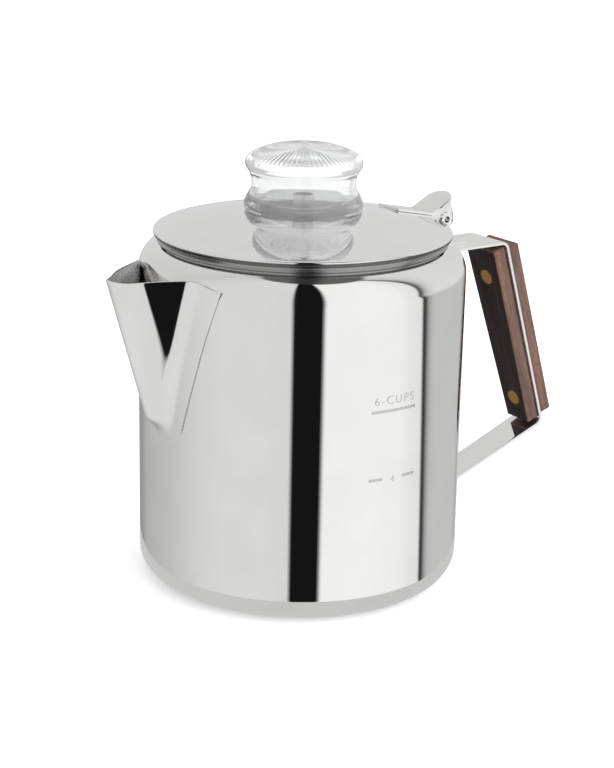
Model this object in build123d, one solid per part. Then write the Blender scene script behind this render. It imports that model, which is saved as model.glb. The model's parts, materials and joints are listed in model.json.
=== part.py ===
from build123d import *
from math import atan2, cos, hypot, radians, sin, tan
import os

# Stovetop coffee percolator: a polished steel pot with a folded V spout, a conical lid on a rear hinge with a
# thumb lever, a clear twist-lock top, a strap handle with two wood grips, and a pump and basket inside.
# Millimetres. The origin is on the table under the pot's axis, +Z is up, +X points to the handle and -X to
# the spout. The part is symmetric about the XZ plane, apart from the spacing of its round perforations.

# ---- driving dimensions -------------------------------------------------------------------------------
SHEET = 0.7                 # pot, spout and lid sheet
POT_RADIUS = 62.5
POT_BASE_ROUND = 10.5       # round between the floor and the wall
POT_FLOOR_SHEET = 1.0       # the flat floor is thicker than the wall
FLOOR_SEAM = 0.05           # gap around the flat floor, where it meets the round
SHOULDER_ROUND = 12.0       # round between the wall and the top
SHOULDER_TOP = 133.0        # height at which the shoulder would become level
NECK_RADIUS = 55.2
RIM_BEAD = 0.8              # radius of the curled bead on the neck
RIM_TOP = 135.7

LID_RADIUS = 56.75
LID_EDGE_TOP = 136.3        # height of the cone where it meets the edge
LID_LIP_BOTTOM = 134.2
LID_SHEET = 0.6
LID_SLOPE = 0.2036          # rise of the cone over its run
LID_SEAT_RADIUS = 22.9      # flat land that the clear top stands on
LID_HOLE_RADIUS = 18.6
SKIRT_RADIUS = 53.7         # locating ring under the lid
SKIRT_BOTTOM = 128.0

TOP_NECK_RADIUS = 18.0      # clear top
TOP_NECK_BOTTOM = 139.6
TOP_APEX = 168.6
TOP_WALL = 2.4
LUG_COUNT = 3
LUG_REACH = 1.7
LUG_ANGLE = 24.0
NOTCH_ANGLE = 30.0

SPOUT_LIP_HEIGHT = 126.0
SPOUT_LIFT = 0.05           # gap between the spout's flange and the pot wall

HINGE_X = 64.25             # lid hinge axis, which runs along Y
HINGE_Z = 133.9
LEAF_WIDTH = 13.0
LEAF_SHEET = 0.9
LEVER_FOLD = (56.9, 137.25)  # (x, z) where the thumb lever turns up from the leaf
LEVER_RISE = 27.5
LEVER_LENGTH = 13.8
PIN_RADIUS = 1.8
PIN_BORE = 1.3

STRAP_SHEET = 1.3
STRAP_TOP_HEIGHT = 121.7    # middle of the upper arm
STRAP_TOP_CORNER = (93.3, 121.7)
STRAP_LOW_CORNER = (120.1, 40.67)
STRAP_LOW_END = (63.4, 18.6)
STRAP_BEND = 3.2
STRAP_TOP_WIDTH = 20.9
STRAP_LOW_WIDTH = 13.4

INNER_GRIP_LENGTH = 81.6
OUTER_GRIP_LENGTH = 79.2
OUTER_GRIP_DROP = 0.3       # how far the outer grip's middle is below the inner one's
GRIP_THICKNESS = 5.8
GRIP_TOP_WIDTH = 18.5
GRIP_LOW_WIDTH = 13.8
GRIP_EDGE = 0.5
RIVET_SPACING = 57.5
RIVET_DROP = 1.5            # how far below the grip's middle the rivets' middle is
RIVET_HEAD_RADIUS = 3.4
RIVET_SLEEVE_RADIUS = 2.1
RIVET_POST_RADIUS = 1.3
RIVET_HEAD_DEPTH = 1.2

TUBE_RADIUS = 4.0           # pump tube
TUBE_WALL = 0.6
TUBE_BOTTOM = 18.6
TUBE_TOP = 150.0
BELL_RADIUS = 25.5
BELL_WALL = 0.7
BELL_BOTTOM = 1.2
VALVE_RADIUS = 7.5
COLLAR_BOTTOM = 84.0
COLLAR_TOP = 86.0

BASKET_RADIUS = 40.0
BASKET_FLOOR = 88.0
BASKET_RIM = 122.4
BASKET_RIM_RADIUS = 43.0
BASKET_SHEET = 0.6
BASKET_HOLE_RADIUS = 1.0
SPREADER_HOLE_RADIUS = 0.8
SLIDE_GAP = 0.3             # radial gap between the pump tube and what slides on it
RESTING_GAP = 0.1           # gap between pieces of two bodies that rest on each other
WELD_GAP = 0.02             # gap between sheets that are spot-welded together


# ---- helpers ------------------------------------------------------------------------------------------
def turned(outline, rounds=()):
    """A solid of revolution about Z from (radius, height) points, with rounds as (corner, radius) pairs."""
    face = make_face(Polyline(*outline, close=True))
    for corner, radius in rounds:
        face = fillet(face.vertices().sort_by_distance(corner)[0], radius)
    return revolve(Plane.XZ * face, Axis.Z)


def slab(outline, width):
    """An (x, z) outline extruded to a width that is centred on the XZ plane."""
    return extrude(Plane.XZ * make_face(Polyline(*outline, close=True)), width / 2, both=True)


def cross_rod(x, z, radius, length):
    """A rod along Y, centred on the XZ plane."""
    return Pos(x, 0, z) * Rot(90, 0, 0) * Cylinder(radius, length)


def ring_of_holes(pitch_radius, count, hole_radius, height, depth):
    """Upright cutters evenly spaced on a circle."""
    cutter = Cylinder(hole_radius, depth)
    return [loc * cutter for loc in Pos(0, 0, height) * PolarLocations(pitch_radius, count)]


def cone_height(radius):
    """Height of the lid's upper face at a radius."""
    return LID_EDGE_TOP + (LID_RADIUS - radius) * LID_SLOPE


def write(node, shape):
    """Writes one node as a STEP file named after it."""
    export_step(shape, f"parts/{node}.step")


# ---- pot and spout ------------------------------------------------------------------------------------
def pot_form(grow, floor=0.0):
    """The pot's outer form without its neck, grown outwards by a distance, with its floor at a height."""
    radius = POT_RADIUS + grow
    top = SHOULDER_TOP + grow
    outline = [(0, floor), (radius, floor), (radius, top), (0, top)]
    return turned(
        outline,
        [((radius, floor), POT_BASE_ROUND + grow), ((radius, top), SHOULDER_ROUND + grow)],
    )


def strainer_holes():
    """A triangle of round holes through the wall behind the spout."""
    top_row = 5
    pitch = 5.6
    row_drop = 8.0
    first_row = 114.0
    cutter = Rot(0, 90, 0) * Cylinder(2.2, 16)
    holes = []
    for row in range(top_row):
        count = top_row - row
        for place in range(count):
            y = (place - (count - 1) / 2) * pitch
            holes.append(Pos(-POT_RADIUS, y, first_row - row * row_drop) * cutter)
    return holes


def floor_disc(radius):
    """A disc as thick as the pot's flat floor, resting at height 0."""
    return Cylinder(radius, POT_FLOOR_SHEET, align=(Align.CENTER, Align.CENTER, Align.MIN))


def pot_floor():
    """The flat middle of the pot's floor, out to where the round of the base begins."""
    return floor_disc(POT_RADIUS - POT_BASE_ROUND - FLOOR_SEAM)


def pot_body():
    """Drawn shell: base round, wall, rounded shoulder and a short neck with a curled bead."""
    neck_foot = SHOULDER_TOP - SHOULDER_ROUND
    neck = Pos(0, 0, neck_foot) * Cylinder(
        NECK_RADIUS, RIM_TOP - RIM_BEAD - neck_foot, align=(Align.CENTER, Align.CENTER, Align.MIN)
    )
    bead = Pos(0, 0, RIM_TOP - RIM_BEAD) * Torus(NECK_RADIUS - 0.1, RIM_BEAD)
    mouth = Pos(0, 0, neck_foot) * Cylinder(
        NECK_RADIUS - SHEET - 0.2, 40, align=(Align.CENTER, Align.CENTER, Align.MIN)
    )
    shell = pot_form(0.0) + neck + bead - pot_form(-SHEET, floor=POT_FLOOR_SHEET) - mouth
    return shell - strainer_holes() - floor_disc(POT_RADIUS - POT_BASE_ROUND)


def spout_section(height, tip_x, nose_radius, half_angle, inset=0.0, back_x=-50.0):
    """A level section of the spout's channel: two straight flanks and a round nose, moved in by an inset."""
    nose_x = tip_x + nose_radius
    radius = nose_radius - inset
    apex_x = nose_x - radius / sin(radians(half_angle))
    back_y = (back_x - apex_x) * tan(radians(half_angle))
    face = make_face(Polyline((apex_x, 0), (back_x, back_y), (back_x, -back_y), close=True))
    return Pos(0, 0, height) * fillet(face.vertices().sort_by_distance((apex_x, 0))[0], radius)


def spout_channel(inset, top_extra):
    """The closed form of the spout's channel, narrow at the foot and wide at the lip."""
    tip_slope = 0.297
    top = SPOUT_LIP_HEIGHT + top_extra
    sections = [
        (top, -84.9 - tip_slope * top_extra, 7.8, 31.8),
        (100.0, -77.1, 4.2, 34.0),
        (86.0, -73.0, 2.8, 34.5),
        (70.0 + 1.5 * inset, -66.3, 2.8, 40.0),
        (64.5 + 1.5 * inset, -62.6, 2.8, 50.0),
    ]
    faces = [spout_section(z, tip, nose, angle, inset) for z, tip, nose, angle in reversed(sections)]
    return loft(faces, ruled=True)


def spout_flange_outline():
    """The flange's outline as seen from the spout side: wide at the lip, tapering to a round foot."""
    top_half = 29.1
    foot_half = 11.8
    foot_height = 72.0
    return Plane.YZ * make_face(
        [
            Line((-foot_half, foot_height), (-top_half, SPOUT_LIP_HEIGHT)),
            Line((-top_half, SPOUT_LIP_HEIGHT), (top_half, SPOUT_LIP_HEIGHT)),
            Line((top_half, SPOUT_LIP_HEIGHT), (foot_half, foot_height)),
            ThreePointArc((foot_half, foot_height), (0, foot_height - foot_half - 0.6), (-foot_half, foot_height)),
        ]
    )


def spout():
    """One folded sheet: a V channel that stands out from the wall, on a flange that follows the pot."""
    inside = pot_form(SPOUT_LIFT)
    sheet = pot_form(SPOUT_LIFT + SHEET) - inside
    flange = sheet & extrude(spout_flange_outline(), -90)
    hollow = spout_channel(SHEET, 4.0)
    channel = spout_channel(0.0, 0.0) - inside
    return (flange + channel) - hollow


# ---- handle -------------------------------------------------------------------------------------------
GRIP_LEAN = atan2(
    STRAP_LOW_CORNER[0] - STRAP_TOP_CORNER[0], STRAP_TOP_CORNER[1] - STRAP_LOW_CORNER[1]
)
GRIP_RISE = 0.5             # how far the wood's middle stands above the middle of the straight stretch
GRIP_MIDDLE = (
    (STRAP_TOP_CORNER[0] + STRAP_LOW_CORNER[0]) / 2 - GRIP_RISE * sin(GRIP_LEAN),
    (STRAP_TOP_CORNER[1] + STRAP_LOW_CORNER[1]) / 2 + GRIP_RISE * cos(GRIP_LEAN),
)
# The grip plane: its origin is on the strap's middle face, X runs down the grip and Z points away from the pot.
GRIP_PLANE = Plane(
    origin=(GRIP_MIDDLE[0], 0, GRIP_MIDDLE[1]),
    x_dir=(sin(GRIP_LEAN), 0, -cos(GRIP_LEAN)),
    z_dir=(cos(GRIP_LEAN), 0, sin(GRIP_LEAN)),
)
RIVET_PLACES = (RIVET_DROP - RIVET_SPACING / 2, RIVET_DROP + RIVET_SPACING / 2)


def rivet_holes(radius, start, end):
    """Cutters for both rivets, between two distances from the strap's middle face."""
    cutter = Cylinder(radius, end - start, align=(Align.CENTER, Align.CENTER, Align.MIN))
    return [GRIP_PLANE * Pos(place, 0, start) * cutter for place in RIVET_PLACES]


def strap_width_form():
    """The strap's width at each height, as a form that the bent strap is cut to."""
    top = STRAP_TOP_WIDTH / 2
    low = STRAP_LOW_WIDTH / 2
    bend = low + 0.7
    outline = [
        (-top, 130),
        (-top, 117),
        (-bend, STRAP_LOW_CORNER[1]),
        (-low, 33),
        (-low, 0),
        (low, 0),
        (low, 33),
        (bend, STRAP_LOW_CORNER[1]),
        (top, 117),
        (top, 130),
    ]
    return extrude(Plane.YZ * make_face(Polyline(*outline, close=True)), 140)


def strap_foot(low, high):
    """A welded foot: a piece of sheet that follows the pot's wall between two heights."""
    inner = POT_RADIUS + WELD_GAP
    height = high - low
    middle = Pos(0, 0, (low + high) / 2)
    ring = middle * Cylinder(inner + STRAP_SHEET, height) - middle * Cylinder(inner, height + 1)
    return ring & Pos(POT_RADIUS, 0, (low + high) / 2) * Box(30, 60, height)


def handle_strap():
    """Flat strap bent to an open loop, with a foot welded to the wall at each end."""
    start = (POT_RADIUS + 0.6, STRAP_TOP_HEIGHT)
    path = FilletPolyline(start, STRAP_TOP_CORNER, STRAP_LOW_CORNER, STRAP_LOW_END, radius=STRAP_BEND)
    band = trace(path, STRAP_SHEET)
    loop = extrude(Plane.XZ * band, 30, both=True) - Cylinder(POT_RADIUS + WELD_GAP, 400)
    feet = strap_foot(100, STRAP_TOP_HEIGHT + STRAP_SHEET / 2) + strap_foot(9.5, STRAP_LOW_END[1])
    strap = (loop + feet) & strap_width_form()
    return strap - rivet_holes(RIVET_SLEEVE_RADIUS, -5, 5)


def grip_blank(start, length, drop=0.0):
    """A tapered wood slab on the grip plane, from a distance along the plane's normal."""
    half = length / 2
    outline = Polyline(
        (-half, -GRIP_TOP_WIDTH / 2),
        (half, -GRIP_LOW_WIDTH / 2),
        (half, GRIP_LOW_WIDTH / 2),
        (-half, GRIP_TOP_WIDTH / 2),
        close=True,
    )
    blank = extrude(make_face(outline), GRIP_THICKNESS)
    return GRIP_PLANE * Pos(drop, 0, start) * chamfer(blank.edges(), GRIP_EDGE)


def inner_grip():
    """Wood slab on the pot side of the strap, counterbored for the rivet heads."""
    face = STRAP_SHEET / 2 + WELD_GAP
    outer_face = -face - GRIP_THICKNESS
    blank = grip_blank(outer_face, INNER_GRIP_LENGTH)
    heads = rivet_holes(RIVET_HEAD_RADIUS + 0.1, outer_face - 1, outer_face + RIVET_HEAD_DEPTH)
    return blank - rivet_holes(RIVET_SLEEVE_RADIUS, outer_face - 1, 0) - heads


def outer_grip():
    """Wood slab on the hand side of the strap, counterbored for the rivet heads."""
    face = STRAP_SHEET / 2 + WELD_GAP
    outer_face = face + GRIP_THICKNESS
    blank = grip_blank(face, OUTER_GRIP_LENGTH, OUTER_GRIP_DROP)
    heads = rivet_holes(RIVET_HEAD_RADIUS + 0.1, outer_face - RIVET_HEAD_DEPTH, outer_face + 1)
    return blank - rivet_holes(RIVET_SLEEVE_RADIUS, 0, outer_face + 1) - heads


def rivet_head(radius):
    """A flat brass head with a softened edge, standing on the XY plane."""
    head = Cylinder(radius, RIVET_HEAD_DEPTH, align=(Align.CENTER, Align.CENTER, Align.MIN))
    return fillet(head.edges().sort_by(Axis.Z)[-1], 0.6)


def rivet_posts():
    """The solid halves of both rivets: head, shoulder and the spigot that is pressed into the sleeve."""
    seat = STRAP_SHEET / 2 + WELD_GAP + GRIP_THICKNESS - RIVET_HEAD_DEPTH
    shoulder_end = STRAP_SHEET / 2
    posts = []
    for place in RIVET_PLACES:
        head = Pos(0, 0, seat) * rivet_head(RIVET_HEAD_RADIUS)
        shoulder = Pos(0, 0, (seat + shoulder_end) / 2) * Cylinder(RIVET_SLEEVE_RADIUS, seat - shoulder_end)
        spigot = Pos(0, 0, -2.0) * Cylinder(RIVET_POST_RADIUS, 2 * (shoulder_end + 2.0))
        post = head + shoulder + spigot
        posts.append(GRIP_PLANE * Pos(place, 0, 0) * Rot(180, 0, 0) * post)
    return Compound(children=posts)


def rivet_sleeves():
    """The hollow halves of both rivets, with their heads on the hand side."""
    seat = STRAP_SHEET / 2 + WELD_GAP + GRIP_THICKNESS - RIVET_HEAD_DEPTH
    foot = -STRAP_SHEET / 2
    sleeves = []
    for place in RIVET_PLACES:
        head = Pos(0, 0, seat) * rivet_head(RIVET_HEAD_RADIUS)
        barrel = Pos(0, 0, (seat + foot) / 2) * Cylinder(RIVET_SLEEVE_RADIUS, seat - foot)
        bore = Pos(0, 0, foot) * Cylinder(RIVET_POST_RADIUS, 2 * (seat - foot - 0.3))
        sleeves.append(GRIP_PLANE * Pos(place, 0, 0) * (head + barrel - bore))
    return Compound(children=sleeves)


# ---- hinge --------------------------------------------------------------------------------------------
def hinge_bracket():
    """A tab welded to the upper arm, rising to a curled knuckle that turns on the pin."""
    sheet = 1.0
    knuckle = 2.9
    width = 10.6
    back = HINGE_X + knuckle
    arm_top = STRAP_TOP_HEIGHT + STRAP_SHEET / 2 + WELD_GAP
    outline = [
        (back - sheet, HINGE_Z),
        (back - sheet, arm_top),
        (back + 8.5, arm_top),
        (back + 8.5, arm_top + sheet),
        (back, arm_top + sheet),
        (back, HINGE_Z),
    ]
    bracket = slab(outline, width) + cross_rod(HINGE_X, HINGE_Z, knuckle, width)
    return bracket - cross_rod(HINGE_X, HINGE_Z, PIN_RADIUS + 0.07, width + 2)


def lever_plate():
    """Thumb lever: a plate that slopes up and back from the lid's edge, with a round end."""
    half = LEAF_WIDTH / 2
    round_start = LEVER_LENGTH - 3.6
    outline = make_face(
        [
            Line((0, half), (0, -half)),
            Line((0, -half), (round_start, -half)),
            ThreePointArc((round_start, -half), (LEVER_LENGTH, 0), (round_start, half)),
            Line((round_start, half), (0, half)),
        ]
    )
    rise = radians(LEVER_RISE)
    plane = Plane(
        origin=(LEVER_FOLD[0], 0, LEVER_FOLD[1]),
        x_dir=(cos(rise), 0, sin(rise)),
        z_dir=(-sin(rise), 0, cos(rise)),
    )
    return extrude(plane * outline, -LEAF_SHEET)


def lever_cheek():
    """One cheek folded down from the lever's edge and rounded about the hinge pin, centred on the XZ plane."""
    reach = 3.6
    fold_length = LEVER_LENGTH - 3.6
    rise = radians(LEVER_RISE)
    lean = radians(45)
    outline = [
        LEVER_FOLD,
        (LEVER_FOLD[0] + fold_length * cos(rise), LEVER_FOLD[1] + fold_length * sin(rise)),
        (HINGE_X + reach, HINGE_Z + 1.0),
        (HINGE_X, HINGE_Z),
        (HINGE_X - reach * sin(lean), HINGE_Z - reach * cos(lean)),
        (LEVER_FOLD[0], LEVER_FOLD[1] - LEAF_SHEET),
    ]
    return slab(outline, LEAF_SHEET) + cross_rod(HINGE_X, HINGE_Z, reach, LEAF_SHEET)


def hinge_leaf():
    """Leaf welded to the lid's cone, rising to a thumb lever whose cheeks hold the hinge pin."""
    start_x = 40.4
    lift = LEAF_SHEET * hypot(1, LID_SLOPE)
    leaf = slab(
        [
            (start_x, cone_height(start_x) + WELD_GAP),
            (LEVER_FOLD[0], cone_height(LEVER_FOLD[0]) + WELD_GAP),
            (LEVER_FOLD[0] + 0.6, LEVER_FOLD[1] - 0.2),
            (LEVER_FOLD[0], LEVER_FOLD[1]),
            (start_x, cone_height(start_x) + WELD_GAP + lift),
        ],
        LEAF_WIDTH,
    )
    offset = (LEAF_WIDTH - LEAF_SHEET) / 2
    cheeks = [Pos(0, side * offset, 0) * lever_cheek() for side in (-1, 1)]
    return leaf + lever_plate() + cheeks - cross_rod(HINGE_X, HINGE_Z, PIN_RADIUS, 40)


def hinge_pin():
    """Tubular rivet through both cheeks, with a rolled flange at each end."""
    flange = 0.6
    length = LEAF_WIDTH
    pin = cross_rod(HINGE_X, HINGE_Z, PIN_RADIUS, length)
    for side in (-1, 1):
        offset = side * (length + flange) / 2
        pin += Pos(0, offset, 0) * cross_rod(HINGE_X, HINGE_Z, 2.5, flange)
    return pin - cross_rod(HINGE_X, HINGE_Z, PIN_BORE, length + 4)


# ---- lid and clear top --------------------------------------------------------------------------------
def sector(radius, angle, height, thickness):
    """A pie slice centred on +X, used for lugs and notches."""
    reach = 2 * radius
    half = radians(angle / 2)
    outline = Polyline((0, 0), (reach, -reach * tan(half)), (reach, reach * tan(half)), close=True)
    wedge = extrude(make_face(outline), thickness)
    disc = Cylinder(radius, thickness, align=(Align.CENTER, Align.CENTER, Align.MIN))
    return Pos(0, 0, height) * (wedge & disc)


def lid():
    """Spun cone with a down-turned lip, a level seat and a notched hole for the clear top."""
    seat_top = cone_height(LID_SEAT_RADIUS)
    inner_lip = LID_RADIUS - LID_SHEET
    outline = [
        (LID_HOLE_RADIUS, seat_top),
        (LID_SEAT_RADIUS, seat_top),
        (LID_RADIUS, LID_EDGE_TOP),
        (LID_RADIUS, LID_LIP_BOTTOM),
        (inner_lip, LID_LIP_BOTTOM),
        (inner_lip, cone_height(inner_lip) - LID_SHEET),
        (LID_SEAT_RADIUS, seat_top - LID_SHEET),
        (LID_HOLE_RADIUS, seat_top - LID_SHEET),
    ]
    cone = turned(outline, [((LID_RADIUS, LID_EDGE_TOP), 0.9)])
    notch = sector(TOP_NECK_RADIUS + LUG_REACH + 0.4, NOTCH_ANGLE, seat_top - 5, 10)
    step = 360 / LUG_COUNT
    return cone - [Rot(0, 0, step * k + step / 2) * notch for k in range(LUG_COUNT)]


def lid_skirt():
    """Ring welded under the cone that centres the lid in the pot's neck."""
    inner = SKIRT_RADIUS - LID_SHEET
    flange = SKIRT_RADIUS - 6.0

    def under(radius):
        return cone_height(radius) - LID_SHEET - WELD_GAP

    return turned(
        [
            (inner, SKIRT_BOTTOM),
            (SKIRT_RADIUS, SKIRT_BOTTOM),
            (SKIRT_RADIUS, under(SKIRT_RADIUS)),
            (flange, under(flange)),
            (flange, under(flange) - LID_SHEET),
            (inner, under(inner) - LID_SHEET),
        ]
    )


def top_outline(apex, inset):
    """Half outline of the clear top's bell, from the axis at the top down to the skirt, moved in by an inset."""
    return [
        ThreePointArc((0, apex), (12.0, apex - 1.0 - inset * 0.1), (20.3 - inset, 164.6 - inset)),
        ThreePointArc((20.3 - inset, 164.6 - inset), (22.3 - inset, 161.8), (21.5 - inset, 159.0)),
        ThreePointArc((21.5 - inset, 159.0), (19.7 - inset, 154.0), (21.7 - inset, 148.6)),
    ]


def clear_top():
    """Hollow clear top: domed head, waist and skirt on the lid, and a neck with bayonet lugs below it."""
    seat = cone_height(LID_SEAT_RADIUS) + RESTING_GAP
    neck_bore = TOP_NECK_RADIUS - 2.0
    outer = make_face(
        top_outline(TOP_APEX, 0.0)
        + [
            ThreePointArc((21.7, 148.6), (22.5, 146.2), (22.3, seat)),
            Line((22.3, seat), (TOP_NECK_RADIUS, seat)),
            Line((TOP_NECK_RADIUS, seat), (TOP_NECK_RADIUS, TOP_NECK_BOTTOM)),
            Line((TOP_NECK_RADIUS, TOP_NECK_BOTTOM), (0, TOP_NECK_BOTTOM)),
            Line((0, TOP_NECK_BOTTOM), (0, TOP_APEX)),
        ]
    )
    inner = make_face(
        top_outline(TOP_APEX - TOP_WALL, TOP_WALL)
        + [
            Line((21.7 - TOP_WALL, 148.6), (neck_bore, seat + 1.2)),
            Line((neck_bore, seat + 1.2), (neck_bore, TOP_NECK_BOTTOM - 1)),
            Line((neck_bore, TOP_NECK_BOTTOM - 1), (0, TOP_NECK_BOTTOM - 1)),
            Line((0, TOP_NECK_BOTTOM - 1), (0, TOP_APEX - TOP_WALL)),
        ]
    )
    bell = revolve(Plane.XZ * outer, Axis.Z) - revolve(Plane.XZ * inner, Axis.Z)
    lug_top = cone_height(LID_SEAT_RADIUS) - LID_SHEET - RESTING_GAP
    lug = sector(TOP_NECK_RADIUS + LUG_REACH, LUG_ANGLE, lug_top - 1.5, 1.5) - Cylinder(neck_bore + 1, 400)
    step = 360 / LUG_COUNT
    for k in range(LUG_COUNT):
        bell += Rot(0, 0, step * k) * lug
    return bell


# ---- pump ---------------------------------------------------------------------------------------------
def pump_tube():
    """Straight riser that carries hot water up to the clear top."""
    height = TUBE_TOP - TUBE_BOTTOM
    middle = Pos(0, 0, (TUBE_TOP + TUBE_BOTTOM) / 2)
    return middle * (Cylinder(TUBE_RADIUS, height) - Cylinder(TUBE_RADIUS - TUBE_WALL, height + 2))


def pump_bell():
    """Spun bell that stands on the pot's floor and closes on the foot of the tube, with inlet notches."""
    wall = BELL_WALL
    throat = 10.0
    outer = [
        (BELL_RADIUS, BELL_BOTTOM),
        (BELL_RADIUS - 1.2, 5.0),
        (throat, 12.0),
        (throat, 17.6),
        (TUBE_RADIUS, 19.6),
    ]
    inner = [
        (TUBE_RADIUS, 18.6),
        (throat - wall, 16.8),
        (throat - wall, 11.5),
        (BELL_RADIUS - 2.2, 4.6),
        (BELL_RADIUS - wall, BELL_BOTTOM),
    ]
    bell = turned(outer + inner)
    notch = Pos(BELL_RADIUS, 0, BELL_BOTTOM) * Box(12, 9, 6)
    return bell - [Rot(0, 0, 45 + 90 * k) * notch for k in range(4)]


def valve_seat():
    """Flat ring fixed in the bell's throat that the valve disc covers."""
    outer = 10.0 - BELL_WALL
    return Pos(0, 0, 12.4) * (Cylinder(outer, 0.8) - Cylinder(5.0, 2))


def valve_disc():
    """Loose disc that lets water into the tube and not back."""
    return Pos(0, 0, 12.8 + RESTING_GAP + 0.4) * Cylinder(VALVE_RADIUS, 0.8)


def stem_collar():
    """Ring fixed on the tube that the basket stands on."""
    height = COLLAR_TOP - COLLAR_BOTTOM
    ring = Cylinder(6.6, height) - Cylinder(TUBE_RADIUS, height + 1)
    return Pos(0, 0, (COLLAR_TOP + COLLAR_BOTTOM) / 2) * ring


# ---- basket and spreader ------------------------------------------------------------------------------
def basket():
    """Drawn cup for the ground coffee, with a perforated floor, a rolled rim and a hole for its tube."""
    inner = BASKET_RADIUS - BASKET_SHEET
    foot = BASKET_RADIUS - 1.5
    cup = turned(
        [
            (5.0, BASKET_FLOOR),
            (foot, BASKET_FLOOR),
            (BASKET_RADIUS, BASKET_RIM - BASKET_SHEET),
            (BASKET_RIM_RADIUS, BASKET_RIM - BASKET_SHEET),
            (BASKET_RIM_RADIUS, BASKET_RIM),
            (inner, BASKET_RIM),
            (foot - BASKET_SHEET, BASKET_FLOOR + BASKET_SHEET),
            (5.0, BASKET_FLOOR + BASKET_SHEET),
        ]
    )
    for pitch_radius, count in ((10, 10), (16, 16), (22, 22), (28, 28), (34, 34)):
        cup -= ring_of_holes(pitch_radius, count, BASKET_HOLE_RADIUS, BASKET_FLOOR, 4)
    return cup


def basket_tube():
    """Guide tube pressed into the basket's floor; it slides over the pump tube and stands on the collar."""
    bore = TUBE_RADIUS + SLIDE_GAP
    bottom = COLLAR_TOP + RESTING_GAP
    return turned(
        [
            (bore, bottom),
            (6.4, bottom),
            (6.4, BASKET_FLOOR),
            (5.0, BASKET_FLOOR),
            (5.0, 117.5),
            (bore, 117.5),
        ]
    )


def spreader():
    """Perforated cover that sits on the basket's rim and spreads the water over the coffee."""
    sheet = BASKET_SHEET
    rest = BASKET_RIM + RESTING_GAP
    floor = rest - 3.2
    wall = BASKET_RADIUS - 1.6
    bore = TUBE_RADIUS + SLIDE_GAP
    cover = turned(
        [
            (bore, floor),
            (wall, floor),
            (wall, rest),
            (BASKET_RIM_RADIUS, rest),
            (BASKET_RIM_RADIUS, rest + sheet),
            (wall - sheet, rest + sheet),
            (wall - sheet, floor + sheet),
            (bore + sheet, floor + sheet),
            (bore + sheet, floor + 6),
            (bore, floor + 6),
        ]
    )
    for pitch_radius, count in ((11, 12), (18, 20), (25, 28), (32, 36)):
        cover -= ring_of_holes(pitch_radius, count, SPREADER_HOLE_RADIUS, floor, 4)
    return cover


# ---- output -------------------------------------------------------------------------------------------
NODES = {
    "pot_body": pot_body,
    "pot_floor": pot_floor,
    "spout": spout,
    "handle_strap": handle_strap,
    "inner_grip": inner_grip,
    "outer_grip": outer_grip,
    "rivet_posts": rivet_posts,
    "rivet_sleeves": rivet_sleeves,
    "hinge_bracket": hinge_bracket,
    "hinge_leaf": hinge_leaf,
    "hinge_pin": hinge_pin,
    "lid": lid,
    "lid_skirt": lid_skirt,
    "clear_top": clear_top,
    "pump_tube": pump_tube,
    "pump_bell": pump_bell,
    "valve_seat": valve_seat,
    "valve_disc": valve_disc,
    "stem_collar": stem_collar,
    "basket": basket,
    "basket_tube": basket_tube,
    "spreader": spreader,
}

os.makedirs("parts", exist_ok=True)
for node, make in NODES.items():
    write(node, make())
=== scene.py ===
"""Looks of a stovetop coffee percolator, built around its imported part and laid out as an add-on."""

import json
from math import cos, hypot, pi, radians, sin, sqrt, tan

import bpy
from bpy.props import FloatProperty, FloatVectorProperty, IntProperty, PointerProperty
from bpy.types import Operator, Panel, PropertyGroup
from mathutils import Matrix, Vector

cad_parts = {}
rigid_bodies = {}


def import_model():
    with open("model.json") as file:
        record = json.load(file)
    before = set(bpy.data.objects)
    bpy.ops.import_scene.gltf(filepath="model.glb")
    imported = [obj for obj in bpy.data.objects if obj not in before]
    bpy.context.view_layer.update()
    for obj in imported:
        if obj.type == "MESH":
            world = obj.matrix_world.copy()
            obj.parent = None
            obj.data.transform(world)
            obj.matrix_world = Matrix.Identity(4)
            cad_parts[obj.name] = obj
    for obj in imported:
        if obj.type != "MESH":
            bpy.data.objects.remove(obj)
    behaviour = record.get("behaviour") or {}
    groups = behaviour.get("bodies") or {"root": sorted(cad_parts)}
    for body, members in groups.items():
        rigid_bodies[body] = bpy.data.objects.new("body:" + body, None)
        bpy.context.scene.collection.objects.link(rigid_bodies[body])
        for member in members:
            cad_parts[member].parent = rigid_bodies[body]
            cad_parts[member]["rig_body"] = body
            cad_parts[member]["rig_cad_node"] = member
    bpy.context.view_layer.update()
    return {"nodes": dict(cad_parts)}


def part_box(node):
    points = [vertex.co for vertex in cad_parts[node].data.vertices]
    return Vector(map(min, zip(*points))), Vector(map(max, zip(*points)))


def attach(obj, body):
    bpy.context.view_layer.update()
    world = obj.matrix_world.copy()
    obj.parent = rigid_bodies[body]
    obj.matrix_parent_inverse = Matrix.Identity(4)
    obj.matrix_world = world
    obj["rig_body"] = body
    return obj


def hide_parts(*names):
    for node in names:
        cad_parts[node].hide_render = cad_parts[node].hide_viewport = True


bl_info = {
    "name": "Coffee Percolator",
    "version": (1, 0, 0),
    "blender": (4, 5, 0),
    "location": "3D View > Sidebar > Percolator",
    "description": "Builds the pieces and finishes of a stovetop coffee percolator",
    "category": "Add Mesh",
}

MM = 0.001
TURN_STEPS = 192            # facets round a turned piece
SMOOTH_ANGLE = radians(32)

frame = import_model()
nodes = frame["nodes"]


def low(node):
    """Lowest corner of a node's box, in millimetres."""
    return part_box(node)[0] / MM


def high(node):
    """Highest corner of a node's box, in millimetres."""
    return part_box(node)[1] / MM


# ---- sizes and colours a user would change ------------------------------------------------------------
def length(name, description, millimetres):
    """A length property whose default is given in millimetres."""
    default = millimetres * MM
    return FloatProperty(name=name, description=description, default=default, unit="LENGTH", precision=5)


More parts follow.
